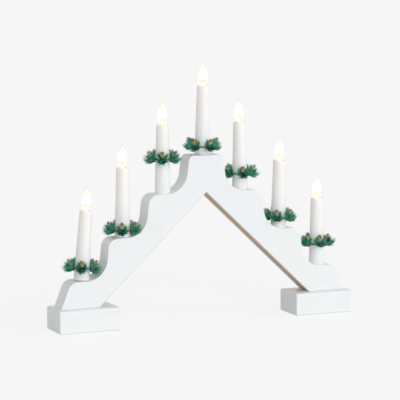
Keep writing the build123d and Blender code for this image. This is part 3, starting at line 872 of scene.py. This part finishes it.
for k in candles:
    rings, ends, tones = joined(tuft_needles(k, np.random.default_rng(sprig_seed + k)), knuckle_pods(k))
    candle_piece(
        f"spruce_sprigs_{k}",
        k,
        rings,
        ends,
        needle_finish,
        body=f"wreath_{k}",
        stands_for=f"wreath_sprigs_{k}",
        slot="needle_green",
        smooth=False,
        along=steps_along(rings),
        tone=tones[:, None, None],
    )


# Cones: a small moulded cone in every tuft, tan with its pointed scales browned at the edges.
# Each one is pushed onto a stalk that stands on the knuckle and leans out with the tuft.

cone_slope = 48.0
cone_foot = 1.4 * mm
# Tiers of scales: how many, height on the cone, length, breadth and how far they open, in
# millimetres and degrees
scale_tiers = (
    (5, 0.4, 11.6, 2.5, 8.0),
    (4, 1.4, 11.0, 2.4, 4.0),
    (3, 2.8, 8.8, 2.0, 1.0),
)
scale_foot_radius = 0.35 * mm
# Scales bulge: they open further by the first angle at their root, and less by the second at their
# tip, in radians
scale_bulge, scale_tuck = 0.24, 0.20
scale_turn_scatter, scale_open_scatter = 0.15, 3.0
scale_length_spread, scale_breadth_spread = (0.92, 1.05), (0.9, 1.1)
scale_thickness, scale_fold = 0.30, 0.42
scale_outline = np.array((0.40, 0.85, 1.0, 0.84, 0.55, 0.26))
# A scale's edges and its ridges, behind and before, in the order of a leaf's ring
scale_edge = np.array((1.0, 0.0, 1.0, 0.0))
stalk_length, stalk_breadth, stalk_thickness = 7.0 * mm, 2.2 * mm, 2.0 * mm
stalk_sunk = 0.6 * mm
stalk_outline = np.array((0.4, 0.6, 1.0, 1.0, 0.9, 0.6))
cone_seed = 200


def cone_axes(k):
    """Foot and axis of each cone of wreath k, with the two ways square to its axis."""
    knuckle, outward, aside, upward = tuft_axes(k)
    axis = raised(outward, upward, cone_slope)
    return knuckle + axis * cone_foot, axis, aside, np.cross(axis, aside)


def scale_tier(k, tier, chance):
    """Rings, ends, tones and edges of one tier of scales on the cones of wreath k. The scales stand
    at even turns about the axis, half a step on in every next tier, and lean out by their opening."""
    foot, axis, aside, flank = (a[:, None] for a in cone_axes(k))
    count, height, length, breadth, opening = scale_tiers[tier]
    even = 2 * np.pi * (np.arange(count) + 0.5 * tier) / count
    turn = (even + chance.uniform(-scale_turn_scatter, scale_turn_scatter, (tufts, count)))[..., None]
    out = np.cos(turn) * aside + np.sin(turn) * flank
    side = -np.sin(turn) * aside + np.cos(turn) * flank
    opened = np.radians(opening + chance.normal(0.0, scale_open_scatter, (tufts, count, 1)))
    start = axis * np.cos(opened + scale_bulge) + out * np.sin(opened + scale_bulge)
    finish = axis * np.cos(opened - scale_tuck) + out * np.sin(opened - scale_tuck)
    root = foot + axis * height * mm + out * scale_foot_radius
    size = length * chance.uniform(*scale_length_spread, tufts * count) * mm
    wide = breadth * chance.uniform(*scale_breadth_spread, tufts * count) * mm
    root, start, finish, side = (a.reshape(-1, 3) for a in (root, start, finish, side))
    thick = scale_thickness * wide
    rings, ends = leaves(root, start, finish, side, size, wide, thick, scale_outline, scale_fold)
    tones = chance.uniform(0.0, 1.0, len(rings))
    return rings, ends, tones, np.broadcast_to(scale_edge, rings.shape[:3])


def cone_stalks(k):
    """Rings, ends, tones and edges of the stalks of wreath k, as brown as an edge all over."""
    foot, axis, aside, _ = cone_axes(k)
    sizes = (stalk_length, stalk_breadth, stalk_thickness)
    rings, ends = leaves(foot - axis * stalk_sunk, axis, axis, aside, *sizes, stalk_outline, fold=0.0)
    return rings, ends, np.zeros(tufts), np.ones(rings.shape[:3])


dark_gold, pale_gold = (0.76, 0.50, 0.18), (1.0, 0.82, 0.46)
edge_brown = (0.085, 0.032, 0.014)

tan = Finish(bpy.data.materials.new("browned_cone"))
along = tan.node("Attribute", {"attribute_name": "along"}, output=2)
edge = tan.node("Attribute", {"attribute_name": "edge"}, output=2)
tone = tan.node("Attribute", {"attribute_name": "tone"}, output=2)
flecks = tan.mottle(size=0.6 * mm, detail=3.0)
browned = (edge * 0.40 + along * 0.95 + 0.20 * flecks).rising(0.90, 1.14)
gold = tan.colour(tone, dark_gold, pale_gold)
cone_finish = tan.surface(
    Base_Color=tan.colour(browned, gold, edge_brown),
    Roughness=0.45 + 0.2 * flecks,
    Normal=tan.relief(flecks, depth=0.08 * mm),
)

for k in candles:
    chance = np.random.default_rng(cone_seed + k)
    tiers = [scale_tier(k, tier, chance) for tier in range(len(scale_tiers))]
    rings, ends, tones, edges = joined(*tiers, cone_stalks(k))
    candle_piece(
        f"small_cones_{k}",
        k,
        rings,
        ends,
        cone_finish,
        body=f"wreath_{k}",
        stands_for=f"wreath_cones_{k}",
        slot="cone_tan",
        along=steps_along(rings),
        tone=tones[:, None, None],
        edge=edges,
    )
